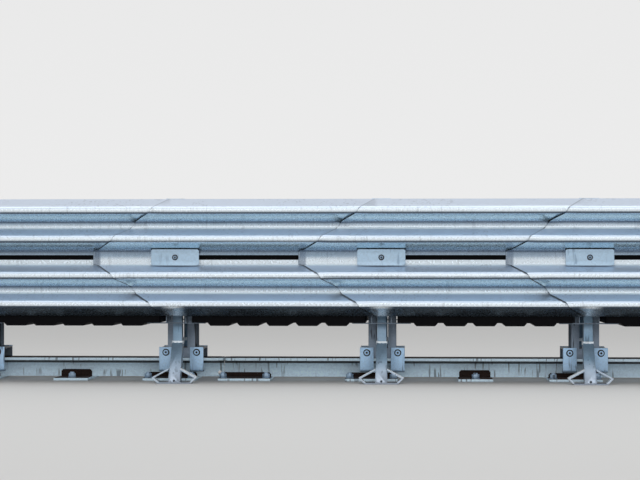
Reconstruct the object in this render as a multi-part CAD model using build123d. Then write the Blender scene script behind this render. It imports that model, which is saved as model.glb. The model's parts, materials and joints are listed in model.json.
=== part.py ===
from build123d import *
from itertools import accumulate
from math import atan2, hypot, sqrt, tan
import os

os.makedirs("parts", exist_ok=True)

# Bays of the barrier, along X
bay_count = 4
bay_pitch = 914.0
half_width = 381.0

# Four-ridge sheet, from its middle to its edge
sheet = 3.0
ridge_depth = 80.0
centre_flat = 68.0
slope_rise = 33.5
nose_flat = 26.0
valley_flat = 33.5
edge_rise = 38.0
bend_radius = 17.0

# Side panels
panel_middle = 557.0
nesting_clearance = 0.4
seat_clearance = 0.3
tongue_reach = 367.0
tongue_length = 24.0
tongue_taper = 5.0
tongue_corner = 13.0
chevron_slant = 0.725
tail_length = 60.0
slot_height = 21.0
slot_run = 750.0

# Plates over the slots, and their sunk bolts
cover_length = 212.0
cover_height = 72.0
cover_thickness = 5.0
cover_dish = 3.0
cover_bend_height = 16.0
cover_corner = 6.0
bolt_diameter = 19.0
bolt_clearance = 0.5
bolt_head_diameter = 25.0
bolt_head_height = 4.0
bolt_end = 24.0

# Cross frames
frame_rise = 3.0
side_plate = 6.0
base_plate = 5.0

# Cartridges and the ledges that carry them
cartridge_gap = 70.0
cartridge_side_gap = 9.0
cartridge_drop = 35.0
cartridge_height = 536.0
cartridge_corner = 12.0
pad_count = 5
pad_share = 0.8
pad_height = 14.0
ledge_inset = 10.0
ledge_clearance = 6.0
ledge_overlap = 60.0
ledge_thickness = 4.0

# Legs and skid shoes
leg_width = 40.0
leg_depth = 50.0
leg_wall = 5.0
leg_inset = 89.5
knee_height = 177.0
knee_width = 46.0
knee_depth = 56.0
foot_width = 53.0
foot_depth = 60.0
drain_diameter = 10.0
drain_height = 13.0
shoe_inset = 27.0
shoe_depth = 68.0
shoe_flat = 142.0
shoe_length = 194.0
shoe_shoulder = 27.0
shoe_top = 66.0
shoe_strip = 6.0

# Ground rail and its anchor plates
rail_height = 100.0
rail_half_width = 78.0
rail_flange = 12.0
rail_web = 12.0
rail_overrun = 150.0
splice_place = -725.0
splice_gap = 2.0
splice_notch_length = 38.0
splice_notch_depth = 15.0
splice_hole_diameter = 18.0
splice_hole_height = 30.0
splice_hole_inset = 20.0
plate_thickness = 12.0
plate_half_width = 160.0
plate_length = 236.0
short_plate_length = 155.0
stud_end_distance = 20.0
stud_side_distance = 40.0
stud_hole_diameter = 22.0
frame_plate_shift = -48.0
middle_plate_shift = -37.0
splice_plate_shift = 103.0
web_window_height = 20.0
short_web_window_height = 32.0
web_window_margin = 6.0
web_window_corner = 9.0

# Posts, saddle and hooked guides over the rail
post_thickness = 6.0
post_reach = 21.0
post_foot_reach = 15.0
post_foot_clearance = 8.0
post_top = 520.0
saddle_half_length = 101.0
saddle_height = 46.0
guide_clearance = 3.0
guide_length = 62.0
guide_thickness = 6.0
guide_top = 150.0
guide_bottom = 38.0
guide_lip = 28.0
guide_bend = 9.0

# Worked out from the sizes above
slope_angle = atan2(ridge_depth, slope_rise)
slope_length = hypot(ridge_depth, slope_rise)
nesting_step = (sheet + nesting_clearance) * slope_length / slope_rise
valley_plane = half_width - sheet / 2 - ridge_depth - nesting_step
frame_half_depth = (ridge_depth + sheet) / 2
frame_half_width = valley_plane - sheet / 2 - seat_clearance - nesting_step * frame_half_depth / bay_pitch
frame_middle = panel_middle + frame_rise
cartridge_half_width = valley_plane - sheet / 2 - cartridge_side_gap
leg_centre = frame_half_width - leg_inset
shoe_front = half_width - shoe_inset
ledge_outer = cartridge_half_width - ledge_inset
ledge_width = ledge_outer - leg_centre - leg_depth / 2 - ledge_clearance
stud_spacing = plate_length - stud_end_distance * 2
stud_row_spacing = (plate_half_width - stud_side_distance) * 2
frame_places = [bay_pitch * (number - bay_count / 2) for number in range(bay_count + 1)]


def sheet_points():
    """Bends of the sheet's mid line, as (outward, up) from the lower edge to the upper edge."""
    rises = [centre_flat / 2, slope_rise, nose_flat, slope_rise, valley_flat, slope_rise, nose_flat, edge_rise]
    outward = [0, ridge_depth, ridge_depth, 0, 0, ridge_depth, ridge_depth, 0]
    upper = list(zip(outward, accumulate(rises)))
    lower = [(out, -up) for out, up in reversed(upper)]
    return lower + upper


def strip(points, thickness, radius):
    """Flat strip of even thickness about a line with rounded bends."""
    return trace(FilletPolyline(*points, radius=radius), line_width=thickness)


def folded_strip(points, thickness):
    """Flat strip of even thickness about a line with sharp folds."""
    edges = offset(Polyline(*points), amount=thickness / 2, kind=Kind.INTERSECTION, side=Side.BOTH, closed=True).edges()
    return make_face(edges)


sheet_section = strip(sheet_points(), sheet, bend_radius)
sheet_half_height = sheet_points()[-1][1]
frame_bottom = frame_middle - sheet_half_height
cartridge_bottom = frame_bottom - cartridge_drop


def section_plane(place, outward, height, inward_step=0.0):
    """Plane across the run on its front side, with x outward and y up, turned to ease inward along the run."""
    return Plane(
        origin=(place, -outward, height),
        x_dir=(inward_step, -bay_pitch, 0),
        z_dir=(-bay_pitch, -inward_step, 0),
    )


def run_along(section, start, length, outward, height):
    """Section carried along a bay, easing inward by one nesting step a bay."""
    face = section_plane(start, outward, height, nesting_step) * section
    return extrude(face, -length)


def chevron_waste(place):
    """All that lies left of a panel's chevron end, as a block through the run."""
    shoulder = place - tongue_reach + tongue_length
    upper = [point for point in sheet_points() if point[1] > 0]
    line = []
    unfolded = 0.0
    for near, far in zip(upper, upper[1:]):
        line.append((shoulder + chevron_slant * unfolded, near[1]))
        unfolded += hypot(far[0] - near[0], far[1] - near[1])
    end = shoulder + chevron_slant * unfolded
    clear = sheet_half_height + ridge_depth
    line += [(end, sheet_half_height), (end, clear)]
    tip = (place - tongue_reach, centre_flat / 2 - tongue_taper)
    upper_line = [tip] + line
    lower_line = [(across, -up) for across, up in reversed(upper_line)]
    far_left = place - tongue_reach - bay_pitch
    outline = Polyline(*lower_line, *upper_line, (far_left, clear), (far_left, -clear), close=True)
    face = make_face(outline)
    corners = [corner for corner in face.vertices() if abs(corner.X - tip[0]) < sheet / 2]
    face = fillet(corners, tongue_corner)
    return extrude(Plane.XZ * Pos(0, panel_middle) * face, half_width * 2, both=True)


def front_panel(number):
    """Side panel of one bay: chevron end over its left neighbour, slot, and fixing hole at its right end."""
    place = frame_places[number]
    length = tongue_reach + bay_pitch + tail_length
    start_outward = valley_plane + nesting_step * (1 + tongue_reach / bay_pitch)
    panel = run_along(sheet_section, place - tongue_reach, length, start_outward, panel_middle)
    panel -= chevron_waste(place)
    slot = Pos(place + slot_run / 2, panel_middle) * SlotCenterToCenter(slot_run, slot_height)
    hole = Pos(place + bay_pitch, panel_middle) * Circle(slot_height / 2)
    return panel - extrude(Plane.XZ * (slot + hole), half_width * 2)


def cover_seat():
    """How far a cover plate's edge stands out from the panel's mid plane, on the round of the valley."""
    round_inside = bend_radius - sheet / 2
    corner = centre_flat / 2 - sheet / 2 * tan(slope_angle / 2)
    round_start = corner - round_inside * tan(slope_angle / 2)
    across = cover_height / 2 - round_start + seat_clearance
    return sheet / 2 + round_inside - sqrt(round_inside ** 2 - across ** 2) + seat_clearance


def cover_outward(number):
    """Panel mid plane under a frame's cover plate, where the last frame carries one sheet only."""
    return valley_plane + (nesting_step if number < bay_count else 0)


def front_cover(number):
    """Plate over the slot, with its long edges bent out to seat on the valley's rounds."""
    edge = cover_seat()
    half = cover_height / 2
    middle_half = half - cover_bend_height
    back = [(edge, -half), (edge - cover_dish, -middle_half), (edge - cover_dish, middle_half), (edge, half)]
    face = [(out + cover_thickness, up) for out, up in reversed(back)]
    section = make_face(Polyline(*back, *face, close=True))
    place = frame_places[number]
    start_outward = cover_outward(number) + nesting_step / 2
    cover = run_along(section, place - bay_pitch / 2, bay_pitch, start_outward, panel_middle)
    blank = Pos(place, panel_middle) * Rectangle(cover_length, cover_height)
    blank = chamfer(blank.vertices(), cover_corner)
    cover &= extrude(Plane.XZ * blank, half_width * 2)
    return cover - bolt_shape(number, bolt_clearance)


def bolt_shape(number, clearance):
    """Sunk bolt of one frame, from its head in the cover plate to its end inside the side plate."""
    head_face = cover_outward(number) + cover_seat() + cover_thickness - cover_dish
    inner_end = frame_half_width - side_plate - bolt_end
    shank = bolt_diameter / 2 + clearance
    head = bolt_head_diameter / 2 + clearance
    half_section = Polyline(
        (0, inner_end), (shank, inner_end), (shank, head_face - bolt_head_height), (head, head_face), (0, head_face),
        close=True,
    )
    turned = revolve(make_face(half_section), Axis.Y)
    return Pos(frame_places[number], 0, panel_middle) * Rot(180, 0, 0) * turned


def cross_frame(number):
    """Corrugated cross sheet between two side plates, on a base plate with the cartridge ledges."""
    inside = frame_half_width - side_plate
    base_bottom = frame_bottom - base_plate
    across = Plane(origin=(-ridge_depth / 2, inside, frame_middle), x_dir=(1, 0, 0), z_dir=(0, -1, 0))
    frame = extrude(across * folded_strip(sheet_points(), sheet), inside * 2)
    plate_height = frame_middle + sheet_half_height - base_bottom
    for side in (-1, 1):
        plate_centre = Pos(0, side * (frame_half_width - side_plate / 2), base_bottom + plate_height / 2)
        frame += plate_centre * Box(frame_half_depth * 2, side_plate, plate_height)
    frame += Pos(0, 0, base_bottom + base_plate / 2) * Box(frame_half_depth * 2, inside * 2, base_plate)
    for side in (-1, 1):
        frame += Pos(0, side * (ledge_outer - ledge_width / 2), 0) * ledge()
    frame -= Pos(0, 0, panel_middle) * Cylinder(
        bolt_diameter / 2 + bolt_clearance, frame_half_width * 3, rotation=(90, 0, 0))
    return Pos(frame_places[number], 0, 0) * frame


def ledge():
    """Angle on both edges of the base plate, with its flat leg under the ends of the cartridges."""
    reach = cartridge_gap + ledge_overlap
    rise = cartridge_drop
    flat = Pos(0, 0, cartridge_bottom - ledge_thickness / 2) * Box(reach * 2, ledge_width, ledge_thickness)
    upright = Pos(0, 0, cartridge_bottom + rise / 2) * Box(
        (frame_half_depth + ledge_thickness) * 2, ledge_width, rise)
    inside = Pos(0, 0, cartridge_bottom + rise / 2) * Box(frame_half_depth * 2, ledge_width, rise)
    return flat + (upright - inside)


def guide_posts(number):
    """Two posts on the faces of the frame, standing on a saddle over the rail.

    The inner flanges of each post end below the frame.
    """
    half = rail_half_width + guide_clearance
    saddle_bottom = rail_height + seat_clearance
    saddle_top = saddle_bottom + saddle_height
    saddle = Pos(0, 0, saddle_bottom + saddle_height / 2) * Box(saddle_half_length * 2, half * 2, saddle_height)
    saddle -= Pos(0, 0, saddle_bottom + (saddle_height - post_thickness) / 2) * Box(
        saddle_half_length * 2, (half - post_thickness) * 2, saddle_height - post_thickness)
    height = post_top - saddle_top
    post = Box(post_reach, half * 2, height) - Pos(post_thickness, 0, 0) * Box(
        post_reach, (half - post_thickness) * 2, height)
    post = Pos(frame_half_depth + post_reach / 2, 0, saddle_top + height / 2) * post
    foot_height = frame_bottom - base_plate - post_foot_clearance - saddle_top
    foot = Box(post_foot_reach, half * 2, foot_height) - Box(
        post_foot_reach, (half - post_thickness) * 2, foot_height)
    post += Pos(frame_half_depth - post_foot_reach / 2, 0, saddle_top + foot_height / 2) * foot
    posts = saddle + post + mirror(post, about=Plane.YZ)
    return Pos(frame_places[number], 0, 0) * posts


def rail_guides(number):
    """Four hooked brackets on the saddle's sides, with their lips under the rail's flange."""
    outward = rail_half_width + guide_clearance + guide_thickness / 2
    lip_height = guide_bottom + guide_thickness / 2
    points = [(outward, guide_top), (outward, lip_height), (outward - guide_lip, lip_height)]
    hook = extrude(section_plane(guide_length / 2, 0, 0) * strip(points, guide_thickness, guide_bend), guide_length)
    right = Pos(saddle_half_length - guide_length / 2, 0, 0) * hook
    pair = [right, Pos(guide_length - saddle_half_length * 2, 0, 0) * right]
    guides = pair + [mirror(guide, about=Plane.XZ) for guide in pair]
    return Pos(frame_places[number], 0, 0) * Compound(guides)


def skid_shoe():
    """Bent strip under a foot: flat sole, upturned ends, and straps back to the leg."""
    inset = shoe_strip / 2
    points = [
        (-foot_width / 2, shoe_top - inset),
        (-shoe_length / 2 + inset, shoe_shoulder),
        (-shoe_flat / 2, inset),
        (shoe_flat / 2, inset),
        (shoe_length / 2 - inset, shoe_shoulder),
        (foot_width / 2, shoe_top - inset),
    ]
    loop = folded_strip(points, shoe_strip)
    return extrude(Plane.XZ.offset(shoe_front - shoe_depth) * loop, shoe_depth)


def leg_tube():
    """Upper tube on the wider lower part, which leans out and widens to the foot, hollow right through."""
    tube = Rectangle(leg_width, leg_depth)
    bore = Rectangle(leg_width - leg_wall * 2, leg_depth - leg_wall * 2)
    knee = Pos(0, -leg_centre, knee_height)
    foot = Pos(0, -shoe_front + shoe_depth / 2, shoe_strip)
    foot_bore = Rectangle(foot_width - leg_wall * 2, foot_depth - leg_wall * 2)
    rise = frame_bottom - base_plate - knee_height
    lower = loft([foot * Rectangle(foot_width, foot_depth), knee * Rectangle(knee_width, knee_depth)], ruled=True)
    solid = extrude(knee * tube, rise) + lower
    return solid - extrude(knee * bore, rise) - loft([foot * foot_bore, knee * bore], ruled=True)


def front_leg(number):
    """Splayed tube leg with its drain hole and skid shoe."""
    tube = leg_tube()
    drain = Cylinder(drain_diameter / 2, shoe_depth, rotation=(90, 0, 0))
    tube -= Pos(0, -shoe_front, drain_height) * drain
    return Pos(frame_places[number], 0, 0) * (tube + skid_shoe())


def anchor_plate(length, holes):
    """Plate under the rail with its stud holes."""
    outline = Rectangle(length, plate_half_width * 2)
    return extrude(outline - holes * Circle(stud_hole_diameter / 2), plate_thickness)


def rail_section(start, end, splice_at_start, splice_at_end):
    """Ground rail between two places: top flange, web with windows over the plates, and the plates."""
    web_height = rail_height - plate_thickness - rail_flange
    middle = (start + end) / 2
    web = Pos(middle, 0, plate_thickness + web_height / 2) * Box(end - start, rail_web, web_height)
    flange = Pos(middle, 0, rail_height - rail_flange / 2) * Box(end - start, rail_half_width * 2, rail_flange)
    rail = web + flange
    if splice_at_start:
        rail -= splice_notches(start)
    if splice_at_end:
        rail -= splice_notches(end)
    pair = GridLocations(0, stud_row_spacing, 1, 2)
    four = GridLocations(stud_spacing, stud_row_spacing, 2, 2)
    for place, length in anchor_places():
        if start < place < end:
            holes = four if length == plate_length else pair
            window_height = web_window_height if length == plate_length else short_web_window_height
            rail -= Pos(place, 0, plate_thickness + window_height / 2) * web_window(length, window_height)
            rail += Pos(place, 0, 0) * anchor_plate(length, holes)
    if splice_at_end:
        hole = Cylinder(splice_hole_diameter / 2, rail_web, rotation=(90, 0, 0))
        rail -= Pos(end - splice_hole_inset, 0, splice_hole_height) * hole
    return rail


def splice_notches(place):
    """Cut-outs of the flange's two edges at the splice."""
    notch = Box(splice_notch_length, splice_notch_depth * 2, rail_flange)
    height = rail_height - rail_flange / 2
    return Compound([Pos(place, side * rail_half_width, height) * notch for side in (-1, 1)])


def web_window(length, height):
    """Opening through the web over an anchor plate, with its upper corners cut off."""
    window = Box(length - web_window_margin * 2, rail_web, height)
    upper_edges = window.edges().filter_by(Axis.Y).group_by(Axis.Z)[-1]
    return chamfer(upper_edges, web_window_corner)


def anchor_places():
    """Place along X and length of every anchor plate."""
    at_frames = [(place + frame_plate_shift, plate_length) for place in frame_places]
    middles = [(place + bay_pitch / 2 + middle_plate_shift, short_plate_length) for place in frame_places[:-1]]
    splice_plate = (splice_place + splice_plate_shift, plate_length)
    clear_middles = [middle for middle in middles if abs(middle[0] - splice_plate[0]) > bay_pitch / 2]
    return at_frames + clear_middles + [splice_plate]


def cartridge(number):
    """Closed cartridge of one bay, with cross pads on its lid and under its base, clear of the ledges."""
    length = bay_pitch - cartridge_gap * 2
    height = cartridge_height - pad_height * 2
    middle = cartridge_bottom + height / 2
    body = Box(length, cartridge_half_width * 2, height)
    body = fillet(body.edges().filter_by(Axis.Z), cartridge_corner)
    pitch = (length - (ledge_overlap + seat_clearance) * 2) / pad_count
    pad = Box(pitch * pad_share, cartridge_half_width * 2, pad_height)
    pad_base = chamfer(pad.edges().filter_by(Axis.Y).group_by(Axis.Z)[0], pad_height * 0.8)
    pad_lid = mirror(pad_base, about=Plane.XY)
    for place in GridLocations(pitch, 0, pad_count, 1):
        body += place * Pos(0, 0, -(height + pad_height) / 2) * pad_base
        body += place * Pos(0, 0, (height + pad_height) / 2) * pad_lid
    return Pos(frame_places[number] + bay_pitch / 2, 0, middle) * body


def to_back(shape):
    """The same piece on the back side of the run."""
    return mirror(shape, about=Plane.XZ)


rail_start = frame_places[0] - rail_overrun
rail_end = frame_places[-1] + rail_overrun
nodes = {
    "rail_section_1": rail_section(rail_start, splice_place - splice_gap / 2, False, True),
    "rail_section_2": rail_section(splice_place + splice_gap / 2, rail_end, True, False),
}
covers = [front_cover(number) for number in range(bay_count + 1)]
bolts = [bolt_shape(number, 0) for number in range(bay_count + 1)]
nodes["front_slot_covers"] = Compound(covers)
nodes["back_slot_covers"] = Compound([to_back(cover) for cover in covers])
nodes["front_slot_bolts"] = Compound(bolts)
nodes["back_slot_bolts"] = Compound([to_back(bolt) for bolt in bolts])
for number in range(bay_count + 1):
    leg = front_leg(number)
    nodes[f"cross_frame_{number + 1}"] = cross_frame(number)
    nodes[f"guide_posts_{number + 1}"] = guide_posts(number)
    nodes[f"rail_guides_{number + 1}"] = rail_guides(number)
    nodes[f"front_leg_{number + 1}"] = leg
    nodes[f"back_leg_{number + 1}"] = to_back(leg)
for number in range(bay_count):
    panel = front_panel(number)
    nodes[f"front_panel_{number + 1}"] = panel
    nodes[f"back_panel_{number + 1}"] = to_back(panel)
    nodes[f"cartridge_{number + 1}"] = cartridge(number)

for name, shape in nodes.items():
    export_step(shape, f"parts/{name}.step")
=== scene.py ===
import json
from collections import namedtuple
from math import hypot, pi, radians

import bpy
from bpy.props import FloatProperty, FloatVectorProperty, PointerProperty
from bpy.types import Operator, Panel, PropertyGroup
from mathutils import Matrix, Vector, noise


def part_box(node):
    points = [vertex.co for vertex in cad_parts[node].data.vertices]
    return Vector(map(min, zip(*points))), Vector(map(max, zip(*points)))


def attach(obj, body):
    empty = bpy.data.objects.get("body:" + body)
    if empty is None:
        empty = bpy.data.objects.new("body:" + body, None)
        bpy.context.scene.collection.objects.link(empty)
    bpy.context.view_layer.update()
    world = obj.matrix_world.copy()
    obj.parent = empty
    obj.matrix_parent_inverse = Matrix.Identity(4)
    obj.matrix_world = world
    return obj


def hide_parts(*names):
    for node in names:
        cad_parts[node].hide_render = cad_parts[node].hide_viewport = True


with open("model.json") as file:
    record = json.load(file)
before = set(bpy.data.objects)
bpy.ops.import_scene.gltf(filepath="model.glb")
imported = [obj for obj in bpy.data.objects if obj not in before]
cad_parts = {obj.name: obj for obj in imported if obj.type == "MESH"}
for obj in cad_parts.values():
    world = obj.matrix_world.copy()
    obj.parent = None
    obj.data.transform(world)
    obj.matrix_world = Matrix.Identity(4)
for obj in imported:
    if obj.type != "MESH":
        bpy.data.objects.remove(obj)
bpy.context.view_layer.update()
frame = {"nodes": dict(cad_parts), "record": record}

bl_info = {
    "name": "Guardrail section",
    "version": (1, 0, 0),
    "blender": (4, 5, 0),
    "location": "3D View > Sidebar > Guardrail",
    "description": "Dresses a telescoping guardrail section in galvanized steel and black plastic",
    "category": "Object",
}

# Sizes of the frame, in metres
BAY_PITCH = 0.914
FRAME_COUNT = 5
FRAME_PLACES = [BAY_PITCH * (number - (FRAME_COUNT - 1) / 2) for number in range(FRAME_COUNT)]
SIDES = {"front": -1, "back": 1}
# Rise and sideways step of each part of a side panel's fold, from its middle up
SHEET_RISES = (0.034, 0.0335, 0.026, 0.0335, 0.0335, 0.0335, 0.026, 0.038)
SHEET_STEPS = (0.0, 0.080, 0.0, 0.080, 0.0, 0.080, 0.0, 0.080)
# Which of those is the slope beneath the uppermost ridge
UPPER_SLOPE = 5
SHEET_MIDDLE = 0.557
VALLEY_PITCH = 0.14375
CHEVRON_START = -0.36765
CHEVRON_SLANT = 0.725
FIRST_SEAM = FRAME_PLACES[0] + CHEVRON_START
# The last panels lap no others from here on
LAST_LAP_END = FRAME_PLACES[-1] + CHEVRON_START - 0.1
COVER_HALF_LENGTH = 0.106
COVER_HALF_HEIGHT = 0.036
PLATE_TOP = 0.012
# Length and height of the rail's windows over the long and the short anchor plates
LONG_WINDOW = (0.224, 0.020)
SHORT_WINDOW = (0.143, 0.032)
KNEE_HEIGHT = 0.177
LEG_CENTRE = 0.199

# Where each mask is 0 and where it is 1
FADES = {
    # by the normal's Z, which is 1 facing up and -1 facing down
    "upper face": (0.15, 0.85),
    "turning down": (-0.10, -0.45),
    "facing down": (-0.60, -0.90),
    "hanging slope": (-0.75, -0.90),
    "past upright": (0.02, 0.20),
    "before flat": (0.88, 0.78),
    "off flat top": (1.1, 0.5),
    # by how far it faces along Z or Y, either way
    "upright": (0.5, 0.2),
    "side edge": (0.75, 0.45),
    # by a noise
    "run": (0.60, 0.66),
    "run patch": (0.44, 0.54),
    "panel stain": (0.42, 0.68),
    "frame stain": (0.40, 0.70),
    "rust patch": (0.45, 0.60),
    "caked patch": (0.35, 0.75),
    "splash": (0.0, 0.6),
    # by a share of the valleys' pitch, or of a line's or a band's width
    "upper half": (-0.06, 0.14),
    "lower half": (0.04, -0.08),
    "seam line": (1.2, 0.8),
    "cover line": (1.3, 0.7),
    "band": (0.0, 1.0),
    # by metres
    "tongue lip": (0.038, 0.030),
    "by leg": (0.055, 0.010),
    "over cover": (COVER_HALF_LENGTH + 0.003, COVER_HALF_LENGTH),
    # by the height of the sky
    "sky": (0.0, 0.8),
}

# Stretch along X, Y and Z, detail and roughness
NOISES = {
    "grain": ((420.0, 420.0, 420.0), 3.0, 0.5),
    "cloud": ((1.6, 6.0, 9.0), 5.0, 0.6),
    "streak": ((0.9, 45.0, 55.0), 1.0, 0.5),
    "run": ((85.0, 85.0, 8.0), 1.0, 0.5),
    "run patch": ((4.0, 4.0, 9.0), 2.0, 0.5),
    "speckle": ((38.0, 38.0, 38.0), 6.0, 0.7),
}

# A colour mix's factor, first and second colour and result, among a Mix node's sockets
MIX_INPUTS = (0, 6, 7)
MIX_RESULT = 2
CRYSTAL_SPREAD = 0.07
# How squarely a face looks along Y to be a bolt's end, and along Z to be an upper face
SQUARE_ON = 0.9
LAID_FLAT = 0.7
DUST = (0.16, 0.15, 0.135)

# A band of another tone between two heights
Band = namedtuple("Band", "bottom top softness amount tone")


def metres(name, description, default):
    return FloatProperty(name=name, description=description, default=default, unit="LENGTH")


def tint(name, description, default):
    return FloatVectorProperty(
        name=name, description=description, default=default, subtype="COLOR", size=3)


class GuardrailSizes(PropertyGroup):
    """Sizes of the details that are added to the frame."""

    tongue_length: metres("Tongue lip", "Length of the tongue's end that curls in", 0.034)
    tongue_curl: metres("Tongue curl", "How far the tongue's tip curls in", 0.0045)
    wave_height: metres("Sheet wave", "Height of the side panels' slight waves", 0.0012)
    flare_length: metres(
        "Flare length", "Width of the strip that stands off along the chevron edge", 0.060)
    flare_height: metres(
        "Flare height", "How far the chevron edge stands off the sheet beneath", 0.0045)
    cover_crown: metres(
        "Cover crown", "How far a cover plate's middle stands out past its ends", 0.003)
    head_rise: metres("Head rise", "How far a cover bolt's head stands proud of its plate", 0.0018)
    stud_radius: metres("Stud radius", "Radius of the anchor studs", 0.0098)
    stud_height: metres("Stud height", "Height of the studs' ends over the floor", 0.038)
    nut_flats: metres("Nut width", "Width across flats of the anchor nuts", 0.030)
    nut_height: metres("Nut height", "Height of the anchor nuts", 0.017)
    washer_radius: metres("Washer radius", "Radius of the anchor washers", 0.0185)
    guide_bolt_radius: metres("Guide bolt radius", "Radius of the guide bolts' heads", 0.0115)
    bead_height: metres("Weld bead", "Height of the weld bead round a leg's knee", 0.015)


class GuardrailFinishes(PropertyGroup):
    """Colours of the finishes."""

    zinc: tint("Zinc", "Galvanized sheet of the side panels", (0.40, 0.53, 0.66))
    # Painted sky light on the side panels' upper faces; also the tone of real pale stains, and the legs'
    # paler feet
    zinc_pale_and_sky_light: tint("Pale zinc", "Painted sky light on upper faces, pale stains and the legs' paler feet", (0.70, 0.77, 0.89))
    # Painted highlight on the ridges, painted sky light in the lower valley halves and on the straps,
    # painted reflection of the legs; also the weld beads' bright tone
    zinc_bright_and_highlight: tint(
        "Highlight zinc", "Ridges, lower halves of the valleys, straps and weld beads", (0.86, 0.94, 1.0))
    # Painted reflection on the slopes beneath the ridges
    zinc_hanging_reflection: tint("Hanging zinc", "Slopes beneath the ridges", (0.63, 0.82, 0.92))
    zinc_dull: tint("Dull zinc", "Anchor studs, nuts and washers", (0.37, 0.52, 0.69))
    zinc_web: tint("Web zinc", "Ground rail", (0.68, 0.87, 1.0))
    zinc_cover: tint("Cover zinc", "Cover plates, their bolts and the cross frames", (0.46, 0.62, 0.77))
    zinc_guide: tint("Guide zinc", "Guide brackets and their bolts", (0.46, 0.68, 0.92))
    zinc_leg: tint("Leg zinc", "Splayed legs", (0.21, 0.33, 0.45))
    # Dark tone of the guide posts; at half strength, painted shade low on the cross frames
    zinc_dark: tint("Dark zinc", "Guide posts, and low on the cross frames", (0.23, 0.29, 0.37))
    # Painted shade in and under the folds of the side panels
    painted_shade: tint("Painted shade", "Painted shade in the folds", (0.055, 0.075, 0.105))
    # Road grime; also painted shade along the seams, the cover plates' edges, the parts' edges and under
    # the rail's flange
    grime: tint("Grime", "Road grime, and painted shade along seams and edges", (0.035, 0.034, 0.038))
    rust: tint("Rust", "Rust on the rail, the plates and the studs", (0.11, 0.055, 0.035))
    # Black plastic darkened further as painted deep shade under the panels
    plastic: tint("Plastic", "Cartridge cases", (0.004, 0.004, 0.005))
    floor: tint("Floor", "Studio floor", (0.58, 0.58, 0.575))


def sizes():
    return bpy.context.scene.guardrail_sizes


def finishes():
    return bpy.context.scene.guardrail_finishes


# Shader nodes


def new_group(name, inputs):
    """Shader node group with number inputs of given names and defaults, and its inner sockets."""
    group = bpy.data.node_groups.new(name, "ShaderNodeTree")
    for label, default in inputs.items():
        socket = group.interface.new_socket(label, in_out="INPUT", socket_type="NodeSocketFloat")
        socket.default_value = default
    return group, group.nodes.new("NodeGroupInput").outputs


def put_out(group, values):
    """Give the group an output for each named value."""
    for label in values:
        group.interface.new_socket(label, in_out="OUTPUT", socket_type="NodeSocketFloat")
    result = group.nodes.new("NodeGroupOutput")
    for label, value in values.items():
        group.links.new(value, result.inputs[label])


def place_group(tree, name, **values):
    """Outputs of a group's node in the tree, with its own values for some of the inputs."""
    made = tree.nodes.new("ShaderNodeGroup")
    made.node_tree = bpy.data.node_groups[name]
    for label, value in values.items():
        made.inputs[label.replace("_", " ")].default_value = value
    return made.outputs


def plug(tree, socket, value):
    """Link a socket to the value if that is a socket too, or set it to the value."""
    if isinstance(value, bpy.types.NodeSocket):
        tree.links.new(value, socket)
    else:
        socket.default_value = value


def fade(tree, source, name):
    """Mask that goes from 0 to 1 between the named limits."""
    made = tree.nodes.new("ShaderNodeMapRange")
    made.inputs["From Min"].default_value, made.inputs["From Max"].default_value = FADES[name]
    tree.links.new(source, made.inputs["Value"])
    return made.outputs["Result"]


def maths(tree, operation, first, second=0.0):
    """Maths node on one or two sockets or numbers."""
    made = tree.nodes.new("ShaderNodeMath")
    made.operation = operation
    plug(tree, made.inputs[0], first)
    plug(tree, made.inputs[1], second)
    return made.outputs[0]


def plus(tree, first, second):
    return maths(tree, "ADD", first, second)


def minus(tree, first, second):
    return maths(tree, "SUBTRACT", first, second)


def times(tree, first, second):
    return maths(tree, "MULTIPLY", first, second)


def over(tree, first, second):
    return maths(tree, "DIVIDE", first, second)


def without(tree, mask):
    """The mask turned round: 1 where it is 0."""
    return minus(tree, 1.0, mask)


def scaled(tree, value, share, base):
    """A share of the value on top of a base."""
    return plus(tree, times(tree, value, share), base)


def from_nearest(tree, value, first, pitch):
    """How far the value is past the nearest of places a pitch apart, as a share of the pitch."""
    turns = plus(tree, over(tree, minus(tree, value, first), pitch), 0.5)
    return minus(tree, maths(tree, "FRACT", turns), 0.5)


def mix(tree, factor, first, second):
    """Mix of two colours by a factor, each a socket or a value."""
    made = tree.nodes.new("ShaderNodeMix")
    made.data_type = "RGBA"
    for index, value in zip(MIX_INPUTS, (factor, first, second)):
        plug(tree, made.inputs[index], value)
    return made.outputs[MIX_RESULT]


def layered(tree, colour, *layers):
    """The colour under layers, each of them a mask, a strength and a colour."""
    for mask, strength, layer in layers:
        colour = mix(tree, times(tree, mask, strength), colour, layer)
    return colour


def object_place(tree):
    return tree.nodes.new("ShaderNodeTexCoord").outputs["Object"]


def axes(tree, vector):
    """X, Y and Z of a vector."""
    split = tree.nodes.new("ShaderNodeSeparateXYZ")
    tree.links.new(vector, split.inputs["Vector"])
    return split.outputs


def normal_axes(tree):
    """How far the surface faces along X, Y and Z."""
    return axes(tree, tree.nodes.new("ShaderNodeNewGeometry").outputs["Normal"])


def place_noise(tree, name):
    """The named noise over the object's own place."""
    stretch, detail, roughness = NOISES[name]
    mapping = tree.nodes.new("ShaderNodeMapping")
    mapping.inputs["Scale"].default_value = stretch
    tree.links.new(object_place(tree), mapping.inputs["Vector"])
    texture = tree.nodes.new("ShaderNodeTexNoise")
    texture.inputs["Scale"].default_value = 1.0
    texture.inputs["Detail"].default_value = detail
    texture.inputs["Roughness"].default_value = roughness
    tree.links.new(mapping.outputs["Vector"], texture.inputs["Vector"])
    return texture.outputs["Fac"]


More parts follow.
